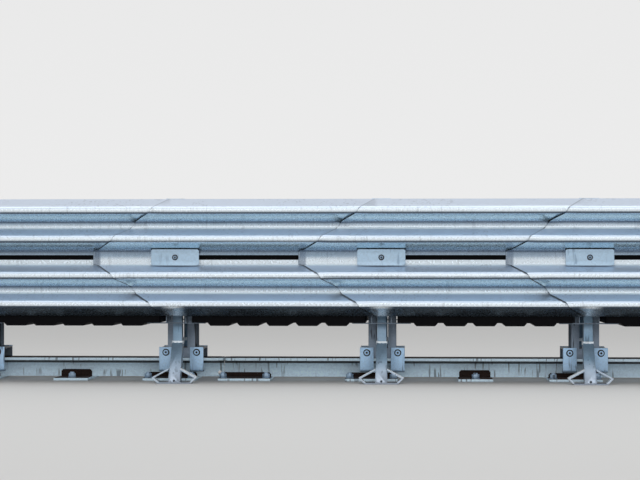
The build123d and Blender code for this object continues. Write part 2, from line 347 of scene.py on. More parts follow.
def spangle_group():
    """The zinc's own patterns: a value for each crystal, fine grain, broad stains and rolled streaks."""
    group, given = new_group("zinc spangle", {"Crystal Scale": 95.0})
    cells = group.nodes.new("ShaderNodeTexVoronoi")
    group.links.new(object_place(group), cells.inputs["Vector"])
    group.links.new(given["Crystal Scale"], cells.inputs["Scale"])
    split = group.nodes.new("ShaderNodeSeparateColor")
    group.links.new(cells.outputs["Color"], split.inputs["Color"])
    put_out(group, {
        "Crystal": split.outputs["Red"],
        "Grain": place_noise(group, "grain"),
        "Cloud": place_noise(group, "cloud"),
        "Streak": place_noise(group, "streak"),
    })


def weather_group():
    """Masks of upper faces, brows, low undersides, dirt runs, splash, a band of heights and edges; most
    of them place painted light and shade.
    """
    group, given = new_group("road weather", {
        "Splash Height": 0.12, "Underside Height": 0.345,
        "Band Bottom": 0.0, "Band Top": 0.0, "Band Softness": 0.001})
    facing = normal_axes(group)
    height = axes(group, object_place(group))["Z"]
    turning_down = fade(group, facing["Z"], "turning down")
    facing_down = fade(group, facing["Z"], "facing down")
    low = maths(group, "LESS_THAN", height, given["Underside Height"])
    thin_runs = fade(group, place_noise(group, "run"), "run")
    patches = fade(group, place_noise(group, "run patch"), "run patch")
    near_floor = without(group, over(group, height, given["Splash Height"]))
    speckle = minus(group, place_noise(group, "speckle"), 0.5)
    over_bottom = minus(group, height, given["Band Bottom"])
    under_top = minus(group, given["Band Top"], height)
    inside = over(group, maths(group, "MINIMUM", over_bottom, under_top), given["Band Softness"])
    put_out(group, {
        "Up": fade(group, facing["Z"], "upper face"),
        "Brow": times(group, turning_down, without(group, facing_down)),
        "Underside": times(group, turning_down, low),
        "Runs": times(group, thin_runs, patches),
        "Splash": fade(group, plus(group, near_floor, speckle), "splash"),
        "Band": fade(group, inside, "band"),
        "Edge": fade(group, maths(group, "ABSOLUTE", facing["Y"]), "side edge"),
    })


def unfolded_sheet(tree, rise):
    """Length along the folded sheet from its middle up to a rise."""
    curve_node = tree.nodes.new("ShaderNodeFloatCurve")
    lengths = [hypot(up, out) for up, out in zip(SHEET_RISES, SHEET_STEPS)]
    curve = curve_node.mapping.curves[0]
    reached_rise = 0.0
    reached_length = 0.0
    for up, run in zip(SHEET_RISES[:-1], lengths[:-1]):
        reached_rise += up
        reached_length += run
        curve.points.new(reached_rise / sum(SHEET_RISES), reached_length / sum(lengths))
    for point in curve.points:
        point.handle_type = "VECTOR"
    curve_node.mapping.update()
    tree.links.new(over(tree, rise, sum(SHEET_RISES)), curve_node.inputs["Value"])
    return times(tree, curve_node.outputs["Value"], sum(lengths))


def seam_mask(group, place, lean, rise, seam_width):
    """Painted shadow line just before each chevron edge, narrow on upright faces and faint on upper
    ones.
    """
    just_past = -0.001
    slant = times(group, unfolded_sheet(group, rise), CHEVRON_SLANT)
    past_edge = from_nearest(group, minus(group, place["X"], slant), FIRST_SEAM, BAY_PITCH)
    before_edge = times(group, past_edge, -BAY_PITCH)
    sloped = scaled(group, maths(group, "ABSOLUTE", lean), share=0.7, base=0.4)
    line = fade(group, over(group, before_edge, times(group, seam_width, sloped)), "seam line")
    beside = times(group, maths(group, "GREATER_THAN", before_edge, just_past), line)
    lapped = times(group, maths(group, "LESS_THAN", place["X"], LAST_LAP_END),
                   maths(group, "GREATER_THAN", rise, SHEET_RISES[0]))
    seam = times(group, times(group, beside, lapped), sloped)
    return times(group, seam, fade(group, lean, "off flat top"))


def lip_mask(group, place, rise):
    """The tongues' tips, where they curl in and painted shade goes."""
    bays = over(group, minus(group, place["X"], FIRST_SEAM), BAY_PITCH)
    past_tip = times(group, maths(group, "FRACT", bays), BAY_PITCH)
    on_tongue = maths(group, "LESS_THAN", rise, SHEET_RISES[0])
    return times(group, on_tongue, fade(group, past_tip, "tongue lip"))


def cover_mask(group, aside, above_middle, line_width):
    """Painted shadow line along the upper edge of each cover plate."""
    hidden = 0.002
    past_edge = minus(group, above_middle, COVER_HALF_HEIGHT - hidden)
    line = fade(group, over(group, past_edge, line_width), "cover line")
    near_edge = times(group, maths(group, "GREATER_THAN", past_edge, 0.0), line)
    return times(group, fade(group, aside, "over cover"), near_edge)


def sheet_group():
    """Masks of the sheet's ridges, slopes, valley halves, edge lines, tongue lips and leg places."""
    group, given = new_group("folded sheet", {
        "Ridge Face": 0.366, "Seam Width": 0.0065, "Cover Line": 0.008})
    lean = normal_axes(group)["Z"]
    place = axes(group, object_place(group))
    upright = fade(group, maths(group, "ABSOLUTE", lean), "upright")
    outward = maths(group, "ABSOLUTE", place["Y"])
    on_ridge = maths(group, "GREATER_THAN", outward, given["Ridge Face"])
    off_ridge = without(group, on_ridge)
    in_valley = times(group, upright, off_ridge)
    from_valley = from_nearest(group, place["Z"], SHEET_MIDDLE, VALLEY_PITCH)
    foot_half = times(group, in_valley, fade(group, from_valley, "lower half"))
    foot_bend = times(group, fade(group, lean, "past upright"), fade(group, lean, "before flat"))
    foot_bend = times(group, foot_bend, off_ridge)
    above_middle = minus(group, place["Z"], SHEET_MIDDLE)
    rise = maths(group, "ABSOLUTE", above_middle)
    from_frame = from_nearest(group, place["X"], FRAME_PLACES[0], BAY_PITCH)
    aside = times(group, maths(group, "ABSOLUTE", from_frame), BAY_PITCH)
    put_out(group, {
        "Ridge": times(group, on_ridge, upright),
        "Hanging": fade(group, lean, "hanging slope"),
        "Valley Top": times(group, in_valley, fade(group, from_valley, "upper half")),
        "Valley Foot": maths(group, "MAXIMUM", foot_half, foot_bend),
        "Seam": seam_mask(group, place, lean, rise, given["Seam Width"]),
        "Cover Edge": cover_mask(group, aside, above_middle, given["Cover Line"]),
        "Lip": lip_mask(group, place, rise),
        "By Leg": fade(group, aside, "by leg"),
    })


def set_shader(tree, **values):
    """Set inputs of a material's Principled BSDF, or link them to sockets."""
    shader = tree.nodes["Principled BSDF"]
    for label, value in values.items():
        plug(tree, shader.inputs[label.replace("_", " ")], value)


def new_material(name, **values):
    """Material with its own plain values for some of the shader's inputs."""
    material = bpy.data.materials.new(name)
    material.use_nodes = True
    set_shader(material.node_tree, **values)
    return material


def rgba(colour, strength=1.0):
    return (colour[0] * strength, colour[1] * strength, colour[2] * strength, 1.0)


def add_bump(tree, height, strength, distance):
    bump = tree.nodes.new("ShaderNodeBump")
    bump.inputs["Strength"].default_value = strength
    bump.inputs["Distance"].default_value = distance
    tree.links.new(height, bump.inputs["Height"])
    set_shader(tree, Normal=bump.outputs["Normal"])


def crystal_zinc(tree, tone, spangle):
    """Zinc whose crystals are each a little lighter or darker."""
    return mix(tree, spangle["Crystal"], rgba(tone, 1 - CRYSTAL_SPREAD), rgba(tone, 1 + CRYSTAL_SPREAD))


def panel_zinc():
    """Bright spangled sheet, with painted light, shade and reflections for each part of its folds,
    painted shadows along its seams and cover edges, and dirt runs.
    """
    clean_metallic = 0.9
    material = new_material("panel zinc", Metallic=clean_metallic)
    tree = material.node_tree
    tones = finishes()
    spangle = place_group(tree, "zinc spangle")
    weather_and_light = place_group(tree, "road weather")
    sheet = place_group(tree, "folded sheet")
    # Painted reflection of each leg on the low slopes beside it
    leg_reflection = times(tree, weather_and_light["Underside"], sheet["By Leg"])
    colour = layered(
        tree, crystal_zinc(tree, tones.zinc, spangle),
        (fade(tree, spangle["Cloud"], "panel stain"), 0.50, rgba(tones.zinc_pale_and_sky_light, 0.85)),
        # Painted sky light on the upper faces
        (weather_and_light["Up"], 0.80, rgba(tones.zinc_pale_and_sky_light)),
        # Painted highlight on the ridges' faces
        (sheet["Ridge"], 0.85, rgba(tones.zinc_bright_and_highlight)),
        # Painted shade on the upper halves of the valleys, under each ridge
        (sheet["Valley Top"], 0.60, rgba(tones.painted_shade, 2.5)),
        # Painted sky light on the lower halves of the valleys
        (sheet["Valley Foot"], 0.95, rgba(tones.zinc_bright_and_highlight)),
        # Painted shade on the tongues' curled tips
        (sheet["Lip"], 0.70, rgba(tones.painted_shade, 2.8)),
        # Painted shade under the ridges' bends, where faces turn down
        (weather_and_light["Brow"], 0.88, rgba(tones.painted_shade, 1.2)),
        # Painted reflection on the slopes beneath the ridges
        (sheet["Hanging"], 0.95, rgba(tones.zinc_hanging_reflection)),
        # Painted shade on low faces that turn down
        (weather_and_light["Underside"], 0.90, rgba(tones.painted_shade)),
        (leg_reflection, 0.80, rgba(tones.zinc_bright_and_highlight)),
        (weather_and_light["Runs"], 0.18, rgba(tones.grime)),
        # Painted shadow along the chevron edges, in the grime tone
        (sheet["Seam"], 0.95, rgba(tones.grime, 0.4)),
        # Painted shadow along the cover plates' upper edges, in the grime tone
        (sheet["Cover Edge"], 0.95, rgba(tones.grime, 0.4)),
    )
    # Faces with painted highlight and sky light are made less metallic, so their pale colour shows
    painted_light_faces = maths(tree, "MAXIMUM", sheet["Valley Foot"], sheet["Ridge"])
    metallic = minus(tree, clean_metallic, times(tree, painted_light_faces, 0.6))
    gloss = scaled(tree, spangle["Crystal"], share=0.05, base=0.24)
    dull = scaled(tree, weather_and_light["Up"], share=0.12, base=gloss)
    set_shader(tree, Base_Color=colour, Metallic=metallic, Roughness=dull)
    relief = scaled(tree, spangle["Grain"], share=0.012, base=spangle["Streak"])
    add_bump(tree, relief, strength=0.12, distance=0.002)
    return material


def dull_zinc(name, tone, runs, splash=(0.01, 0.0), band=None, edge_shade=0.0, metallic=0.55):
    """Thick dull zinc, with amounts of dirt runs and of painted shade on edges, and splashed rust's
    height and amount.
    """
    material = new_material(name, Metallic=metallic)
    tree = material.node_tree
    tones = finishes()
    splash_height, splash_amount = splash
    band = band or Band(0.0, 0.0, softness=0.001, amount=0.0, tone=tone)
    spangle = place_group(tree, "zinc spangle", Crystal_Scale=140.0)
    weather_and_light = place_group(
        tree, "road weather", Splash_Height=splash_height,
        Band_Bottom=band.bottom, Band_Top=band.top, Band_Softness=band.softness)
    rusty = mix(
        tree, fade(tree, spangle["Cloud"], "rust patch"), rgba(tones.grime), rgba(tones.rust))
    colour = layered(
        tree, crystal_zinc(tree, tone, spangle),
        (fade(tree, spangle["Cloud"], "frame stain"), 0.18, rgba(tones.zinc_pale_and_sky_light, 0.85)),
        (weather_and_light["Band"], band.amount, rgba(band.tone)),
        (weather_and_light["Runs"], runs, rgba(tones.grime)),
        # Painted shade on faces that turn away from the front and back
        (weather_and_light["Edge"], edge_shade, rgba(tones.grime)),
        (weather_and_light["Splash"], splash_amount, rusty),
    )
    clean = scaled(tree, spangle["Crystal"], share=0.10, base=0.42)
    dirt = plus(tree, weather_and_light["Splash"], weather_and_light["Runs"])
    set_shader(tree, Base_Color=colour, Roughness=scaled(tree, dirt, share=0.3, base=clean))
    relief = scaled(tree, weather_and_light["Splash"], share=2.0, base=spangle["Grain"])
    add_bump(tree, relief, strength=0.08, distance=0.002)
    return material


def black_plastic():
    """Black moulded plastic, darker and less shiny than plastic is as painted deep shade, with a fine
    grain and dust on its upper faces.
    """
    material = new_material("black case plastic", Specular_IOR_Level=0.05)
    tree = material.node_tree
    spangle = place_group(tree, "zinc spangle")
    weather_and_light = place_group(tree, "road weather")
    dust = times(tree, weather_and_light["Up"], fade(tree, spangle["Cloud"], "caked patch"))
    dusty = layered(tree, rgba(finishes().plastic), (dust, 0.45, rgba(DUST)))
    set_shader(tree, Base_Color=dusty, Roughness=scaled(tree, dust, share=0.25, base=0.55))
    add_bump(tree, spangle["Grain"], strength=0.2, distance=0.001)
    return material


def caked_grime_and_shade(name, pattern, strength, rust_share):
    """Rough grime with rust in it, where one of the spangle's patterns is high; in sockets, rims and
    windows it is painted shade as well as grime.
    """
    tree = new_material(name, Roughness=0.9, Specular_IOR_Level=0.1).node_tree
    patches = fade(tree, place_group(tree, "zinc spangle")[pattern], "caked patch")
    set_shader(tree, Base_Color=layered(
        tree, rgba(finishes().grime, strength), (patches, rust_share, rgba(finishes().rust))))


class GUARDRAIL_OT_finishes(Operator):
    """Make the finishes and give them to the frame's pieces"""

    bl_idname = "guardrail.finishes"
    bl_label = "Finishes"

    def execute(self, context):
        spangle_group()
        weather_group()
        sheet_group()
        tones = finishes()
        # Painted shade under the rail's top flange
        flange_shade = Band(0.073, 0.088, softness=0.001, amount=0.92, tone=rgba(tones.grime, 0.5))
        # Painted shade low on the cross frames, under the panels
        frame_foot_shade = Band(0.250, 0.318, softness=0.001, amount=0.92, tone=rgba(tones.zinc_dark, 0.5))
        leg_foot = Band(-0.08, 0.110, softness=0.080, amount=0.6, tone=tones.zinc_pale_and_sky_light)
        made = {
            "panel_steel": panel_zinc(),
            "frame_steel": dull_zinc("guide zinc", tones.zinc_guide, runs=0.4, edge_shade=0.7),
            "rail_steel": dull_zinc(
                "rail zinc", tones.zinc_web, runs=0.60, splash=(0.004, 0.4), band=flange_shade,
                metallic=0.1),
            "cover_steel": dull_zinc("cover zinc", tones.zinc_cover, runs=0.15, edge_shade=0.8),
            "cartridge": black_plastic(),
        }
        dull_zinc("frame zinc shaded low", tones.zinc_cover, runs=0.4, band=frame_foot_shade)
        dull_zinc("post zinc", tones.zinc_dark, runs=0.9, edge_shade=0.8)
        dull_zinc(
            "leg zinc", tones.zinc_leg, runs=0.3, splash=(0.010, 0.4), band=leg_foot, edge_shade=0.5)
        # Painted light on the legs' straps
        dull_zinc("lit strap zinc", tones.zinc_bright_and_highlight, runs=0.2, splash=(0.006, 0.3), metallic=0.0)
        dull_zinc("fixing zinc", tones.zinc_dull, runs=0.6, splash=(0.016, 0.5))
        dull_zinc("weld zinc", tones.zinc_bright_and_highlight, runs=0.2, metallic=0.2)
        # Painted shade and grime in the bolts' sockets and rims and in the rail's windows
        caked_grime_and_shade("recess shade and grime", "Grain", strength=0.3, rust_share=0.5)
        caked_grime_and_shade("road grime", "Cloud", strength=1.6, rust_share=0.7)
        for part in frame["record"]["subparts"]:
            piece = frame["nodes"][part["node"]]
            piece.data.materials.clear()
            piece.data.materials.append(made[part["material_slot"]])
        return {"FINISHED"}


# Modelling helpers


def set_mode(mode):
    bpy.ops.object.mode_set(mode=mode)


def select_only(piece):
    if bpy.context.mode != "OBJECT":
        set_mode("OBJECT")
    bpy.ops.object.select_all(action="DESELECT")
    piece.select_set(True)
    bpy.context.view_layer.objects.active = piece


def settle(piece):
    """Put the piece's place, turn and size into its mesh."""
    select_only(piece)
    bpy.ops.object.transform_apply(location=True, rotation=True, scale=True)


def cylinder(sides, radius, depth, place, turn=(0, 0, 0)):
    """Cylinder of so many sides round a place, upright unless it is turned."""
    bpy.ops.mesh.primitive_cylinder_add(
        vertices=sides, radius=radius, depth=depth, location=place, rotation=turn)
    return bpy.context.object


def block(place, scale):
    """Box round a place, settled."""
    bpy.ops.mesh.primitive_cube_add(size=1, location=place)
    made = bpy.context.object
    made.scale = scale
    settle(made)
    return made


def bevel(piece, width, segments=2, angle=radians(40)):
    """Round the piece's sharp edges."""
    select_only(piece)
    modifier = piece.modifiers.new("edges", "BEVEL")
    modifier.width = width
    modifier.segments = segments
    modifier.limit_method = "ANGLE"
    modifier.angle_limit = angle
    bpy.ops.object.modifier_apply(modifier=modifier.name)


def smooth(piece, angle=radians(32)):
    select_only(piece)
    bpy.ops.object.shade_smooth_by_angle(angle=angle)


def join(pieces, name):
    """One piece from several."""
    select_only(pieces[0])
    for piece in pieces[1:]:
        piece.select_set(True)
    if len(pieces) > 1:
        bpy.ops.object.join()
    joined = bpy.context.view_layer.objects.active
    joined.name = name
    joined.data.name = name
    return joined


def copies(model, places, name, turns=None):
    """The model repeated at each place, joined as one piece, with the model itself removed."""
    made = []
    for index, place in enumerate(places):
        piece = model.copy()
        piece.data = model.data.copy()
        bpy.context.collection.objects.link(piece)
        piece.location = place
        piece.rotation_euler = (0, 0, turns[index] if turns else 0)
        made.append(piece)
    bpy.data.objects.remove(model)
    joined = join(made, name)
    settle(joined)
    return joined


def dress(piece, material, slot, *stands_for):
    """Give a finished piece its material and body, and hide the nodes that it replaces. The slot is not
    used.
    """
    piece.data.materials.clear()
    piece.data.materials.append(bpy.data.materials[material])
    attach(piece, "root")
    if stands_for:
        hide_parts(*stands_for)


def refinish(piece, material, chosen):
    """Give another material to the finished piece's faces for which chosen(face) is true."""
    piece.data.materials.append(bpy.data.materials[material])
    for face in piece.data.polygons:
        if chosen(face):
            face.material_index = 1


def merged_copy(source_name, name, whole_faces=True):
    """Copy of a frame node, welded, and merged into whole faces unless some have holes."""
    source = frame["nodes"][source_name]
    piece = bpy.data.objects.new(name, source.data.copy())
    piece.data.name = name
    bpy.context.collection.objects.link(piece)
    select_only(piece)
    set_mode("EDIT")
    bpy.ops.mesh.select_all(action="SELECT")
    bpy.ops.mesh.remove_doubles(threshold=0.00002)
    if whole_faces:
        bpy.ops.mesh.dissolve_limited(angle_limit=radians(1.0))
    set_mode("OBJECT")
    return piece


def rounded_copy(node_name, name, width, finish, slot, segments=2):
    """Dressed copy of a frame node with rounded edges, which stands for the node."""
    piece = merged_copy(node_name, name)
    bevel(piece, width, segments)
    smooth(piece)
    dress(piece, finish, slot, node_name)
    return piece


def slice_along(piece, places):
    """Cut extra edges across the piece at places along X."""
    select_only(piece)
    set_mode("EDIT")
    for place in places:
        bpy.ops.mesh.select_all(action="SELECT")
        bpy.ops.mesh.bisect(plane_co=(place, 0, 0), plane_no=(1, 0, 0), use_fill=False)
    set_mode("OBJECT")


def spaced(start, end, spacing):
    """Places from start to end, spacing apart."""
    count = int((end - start) / spacing)
    return [start + spacing * step for step in range(count + 1)]


def select_faces(piece, chosen):
    """Select the faces for which chosen(face) is true, and enter edit mode."""
    select_only(piece)
    set_mode("EDIT")
    bpy.ops.mesh.select_mode(type="FACE")
    bpy.ops.mesh.select_all(action="DESELECT")
    set_mode("OBJECT")
    for face in piece.data.polygons:
        face.select = chosen(face)
    set_mode("EDIT")


def step_faces(inset, shift):
    """Inset the selected faces, and move what is inside by a shift along Y."""
    bpy.ops.mesh.inset(thickness=inset)
    bpy.ops.mesh.extrude_region_move(TRANSFORM_OT_translate={"value": (0, shift, 0)})


def subdivide(piece, cuts):
    """Cut all of the piece's faces finer."""
    select_faces(piece, lambda face: True)
    bpy.ops.mesh.subdivide(number_cuts=cuts)
    set_mode("OBJECT")


# Pieces


class GUARDRAIL_OT_side_panels(Operator):
    """Shape the side panels: slight waves, chevron edges that stand off, and curled tongues"""

    bl_idname = "guardrail.side_panels"
    bl_label = "Side panels"

    edge_before_frame = 0.015
    lip_cuts = 5
    fine_cut = 0.020
    coarse_cut = 0.070
    past_frame = 0.060
    before_end = 0.030
    waves_along = 2.3
    waves_up = 5.0
    side_apart = 3.0

    def execute(self, context):
        for side, outward in SIDES.items():
            for number in range(1, FRAME_COUNT):
                node_name = f"{side}_panel_{number}"
                piece = merged_copy(node_name, f"{side}_sheet_{number}", whole_faces=False)
                self.shape(piece, node_name, outward, FRAME_PLACES[number - 1])
                smooth(piece)
                dress(piece, "panel zinc", "panel_steel", node_name)
        return {"FINISHED"}

    def shape(self, piece, node_name, outward, frame_place):
        """Slice the panel, then move its points out or in by wave, curl and flare."""
        low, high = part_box(node_name)
        given = sizes()
        lip = given.tongue_length
        lip_cut = lip / self.lip_cuts
        edge = self.chevron_edge(piece, frame_place - self.edge_before_frame)
        slice_along(piece, spaced(low.x + lip_cut, low.x + lip, lip_cut))
        slice_along(piece, spaced(low.x + lip + self.fine_cut, frame_place, self.fine_cut))
        slice_along(piece, spaced(
            frame_place + self.past_frame, high.x - self.before_end, self.coarse_cut))
        for vertex in piece.data.vertices:
            across, _, height = vertex.co
            wave = noise.noise(Vector((
                across * self.waves_along, height * self.waves_up, outward * self.side_apart)))
            curl = max(0.0, (low.x + lip - across) / lip)
            flare = max(0.0, 1.0 - (across - edge(height)) / given.flare_length) ** 2
            past_tongue = min(1.0, max(0.0, (across - low.x - lip) / given.flare_length))
            shift = given.wave_height * wave - given.tongue_curl * curl ** 2
            shift += given.flare_height * flare * past_tongue * (1.0 + self.below_upper_ridge(height))
            vertex.co.y += outward * shift

    def below_upper_ridge(self, height):
        """1 on the slope beneath the uppermost ridge, where the edge gapes widest, and 0 off it."""
        slope_rise = SHEET_RISES[UPPER_SLOPE]
        middle_of_slope = SHEET_MIDDLE + sum(SHEET_RISES[:UPPER_SLOPE]) + slope_rise / 2
        return max(0.0, 1.0 - abs(height - middle_of_slope) / slope_rise)

    def chevron_edge(self, piece, limit):
        """Function for the sheet's left edge at a height, read from its bends up to a limit."""
        leftmost = {}
        for vertex in piece.data.vertices:
            if vertex.co.x < limit:
                height = round(vertex.co.z, 3)
                leftmost[height] = min(vertex.co.x, leftmost.get(height, vertex.co.x))
        heights = sorted(leftmost)

        def edge(height):
            for below, above in zip(heights, heights[1:]):
                if below <= height <= above:
                    share = (height - below) / (above - below)
                    return leftmost[below] + (leftmost[above] - leftmost[below]) * share
            return leftmost[heights[0] if height < heights[0] else heights[-1]]

        return edge


class GUARDRAIL_OT_slot_covers(Operator):
    """Crown the cover plates and soften their edges"""

    bl_idname = "guardrail.slot_covers"
    bl_label = "Slot covers"

    crown_half = 0.101
    cut = 0.020

    def execute(self, context):
        cuts = spaced(self.cut, self.crown_half, self.cut)
        offsets = [way * cut for way in (-1, 1) for cut in cuts]
        for side, outward in SIDES.items():
            node_name = f"{side}_slot_covers"
            piece = merged_copy(node_name, f"{side}_cover_plates", whole_faces=False)
            slice_along(piece, [place + offset for place in FRAME_PLACES for offset in offsets])
            for vertex in piece.data.vertices:
                offset = min((vertex.co.x - place for place in FRAME_PLACES), key=abs)
                crown = 1.0 - min(1.0, abs(offset) / self.crown_half) ** 2
                vertex.co.y += outward * sizes().cover_crown * crown
            bevel(piece, width=0.0012)
            smooth(piece)
            dress(piece, "cover zinc", "cover_steel", node_name)
        return {"FINISHED"}


class GUARDRAIL_OT_slot_bolts(Operator):
    """Model the bolts of the cover plates, whose heads stand just proud of the plates"""

    bl_idname = "guardrail.slot_bolts"
    bl_label = "Slot bolts"

    head_depth = 0.02
    head_radius = 0.0087
    recess_depth = 0.0012
    face_slack = 0.001
    rim_inset = 0.0040
    dish_depth = 0.0007
    socket_inset = 0.0050
    socket_depth = 0.0008

    def execute(self, context):
        for side, outward in SIDES.items():
            node_name = f"{side}_slot_bolts"
            pieces = []
            for index, place in enumerate(FRAME_PLACES):
                piece = merged_copy(node_name, f"{side}_bolt_{index}")
                select_faces(piece, lambda face: abs(face.center.x - place) > BAY_PITCH / 2)
                bpy.ops.mesh.delete(type="FACE")
                set_mode("OBJECT")
                self.sink_socket(piece, outward)
                pieces.append(piece)
            bolts = join(pieces, f"{side}_sunk_bolts")
            for vertex in bolts.data.vertices:
                vertex.co.y += outward * (sizes().cover_crown + sizes().head_rise)
            smooth(bolts)
            dress(bolts, "cover zinc", "panel_steel", node_name)
            head_face = max(vertex.co.y * outward for vertex in bolts.data.vertices)
            # Painted shade and grime in the socket and the rim round the head
            refinish(bolts, "recess shade and grime", lambda face: self.in_recess(face, outward, head_face))
        return {"FINISHED"}

    def in_recess(self, face, outward, head_face):
        """True for the socket's faces and the rim round the head."""
        place = min(FRAME_PLACES, key=lambda near: abs(near - face.center.x))
        from_axis = hypot(face.center.x - place, face.center.z - SHEET_MIDDLE)
        depth = head_face - face.center.y * outward
        sunk = from_axis > self.head_radius or depth > self.recess_depth
        return depth < self.head_depth and sunk

    def sink_socket(self, piece, outward):
        """Dish the head's face inside a rim, with a socket in the middle."""
        lowest = max(vertex.co.y * outward for vertex in piece.data.vertices) - self.face_slack
        select_faces(
            piece, lambda face: face.normal.y * outward > SQUARE_ON and face.center.y * outward > lowest)
        step_faces(self.rim_inset, -outward * self.dish_depth)
        step_faces(self.socket_inset, -outward * self.socket_depth)
        set_mode("OBJECT")


class GUARDRAIL_OT_frames(Operator):
    """Round the edges of the cross frames, posts, guides and legs, and paint light on the legs' straps
    """

    bl_idname = "guardrail.frames"
    bl_label = "Frames"

    strap_top = 0.075
    tube_half = 0.0255

    def execute(self, context):
        rounded = {
            "cross_frame": ("cross_sheet", 0.0025, "frame zinc shaded low"),
            "guide_posts": ("post_pair", 0.0012, "post zinc"),
            "rail_guides": ("guide_hooks", 0.0010, "guide zinc"),
            "front_leg": ("front_tube_leg", 0.0022, "leg zinc"),
            "back_leg": ("back_tube_leg", 0.0022, "leg zinc"),
        }
        for kind, (name, width, finish) in rounded.items():
            for number, place in enumerate(FRAME_PLACES, 1):
                piece = rounded_copy(
                    f"{kind}_{number}", f"{name}_{number}", width, finish, "frame_steel")
                if finish == "leg zinc":
                    refinish(piece, "lit strap zinc", lambda face: self.on_strap(face, place))
        return {"FINISHED"}

    def on_strap(self, face, place):
        """True for the bent strap of a leg's shoe, out past the tube."""
        return face.center.z < self.strap_top and abs(face.center.x - place) > self.tube_half


class GUARDRAIL_OT_rail(Operator):
    """Round the edges of the ground rail, and cake its upper faces with grime"""

    bl_idname = "guardrail.rail"
    bl_label = "Ground rail"

    def execute(self, context):
        for number in (1, 2):
            piece = rounded_copy(
                f"rail_section_{number}", f"ground_rail_{number}", 0.0022, "rail zinc", "rail_steel")
            refinish(piece, "road grime", lambda face: face.normal.z > LAID_FLAT)
        return {"FINISHED"}


def anchor_mounts():
    """The record's bolt patterns, one for each anchor plate."""
    return [mount for mount in frame["record"]["mounts"] if mount["kind"] == "bolt_pattern"]


def anchor_places():
    """Places of the anchor studs, four in a long plate and two in a short one."""
    places = []
    for mount in anchor_mounts():
        half_x, half_y = (mount["dims"].get(f"spacing_{axis}_mm", 0) / 2000 for axis in "xy")
        places += [
            Vector(mount["pos_m"]) + Vector((side_x * half_x, side_y * half_y, 0))
            for side_x in ((-1, 1) if half_x else (0,)) for side_y in (-1, 1)]
    return places


class GUARDRAIL_OT_window_dirt(Operator):
    """Pack the rail's windows over the anchor plates with a dark lumpy sheet of painted shade and dirt
    """

    bl_idname = "guardrail.window_dirt"
    bl_label = "Window shade and dirt"

    thickness = 0.006
    spare_length = 0.006
    spare_height = 0.004
    lumps = 60
    lump_height = 0.002

    def execute(self, context):
        heaps = []
        for mount in anchor_mounts():
            four_studs = "spacing_x_mm" in mount["dims"]
            length, height = LONG_WINDOW if four_studs else SHORT_WINDOW
            heaps.append(block(
                (mount["pos_m"][0], 0, PLATE_TOP + height / 2),
                (length + self.spare_length, self.thickness, height + self.spare_height)))
        piece = join(heaps, "window_dirt")
        subdivide(piece, cuts=9)
        for vertex in piece.data.vertices:
            vertex.co.y += noise.noise(vertex.co * self.lumps) * self.lump_height
        smooth(piece, angle=radians(60))
        dress(piece, "recess shade and grime", "rail_steel")
        return {"FINISHED"}


class GUARDRAIL_OT_cartridges(Operator):
    """Round the edges of the cartridge cases"""

    bl_idname = "guardrail.cartridges"
    bl_label = "Cartridges"

    def execute(self, context):
        for number in range(1, FRAME_COUNT):
            rounded_copy(
                f"cartridge_{number}", f"cartridge_case_{number}", 0.004, "black case plastic",
                "cartridge", segments=3)
        return {"FINISHED"}


class GUARDRAIL_OT_anchor_studs(Operator):
    """Add the studs, washers and nuts of the anchor plates"""

    bl_idname = "guardrail.anchor_studs"
    bl_label = "Anchor studs"

    washer_thickness = 0.003
    foot_height = 0.001
    turn_apart = 0.7

    def execute(self, context):
        given = sizes()
        washer_middle = PLATE_TOP + self.washer_thickness / 2
        washer = cylinder(20, given.washer_radius, self.washer_thickness, (0, 0, washer_middle))
        bevel(washer, width=0.0006, segments=1)
        nut_middle = PLATE_TOP + self.washer_thickness + given.nut_height / 2
        nut = cylinder(6, given.nut_flats / 3 ** 0.5, given.nut_height, (0, 0, nut_middle))
        bevel(nut, width=0.0018)
        shank = given.stud_height - self.foot_height
        stud = cylinder(16, given.stud_radius, shank, (0, 0, self.foot_height + shank / 2))
        bevel(stud, width=0.0012)
        model = join([washer, nut, stud], "anchor_studs")
        settle(model)
        places = anchor_places()
        turns = [(index * self.turn_apart) % (pi / 3) for index in range(len(places))]
        piece = copies(model, places, "anchor_studs", turns)
        smooth(piece)
        dress(piece, "fixing zinc", "rail_steel")
        return {"FINISHED"}


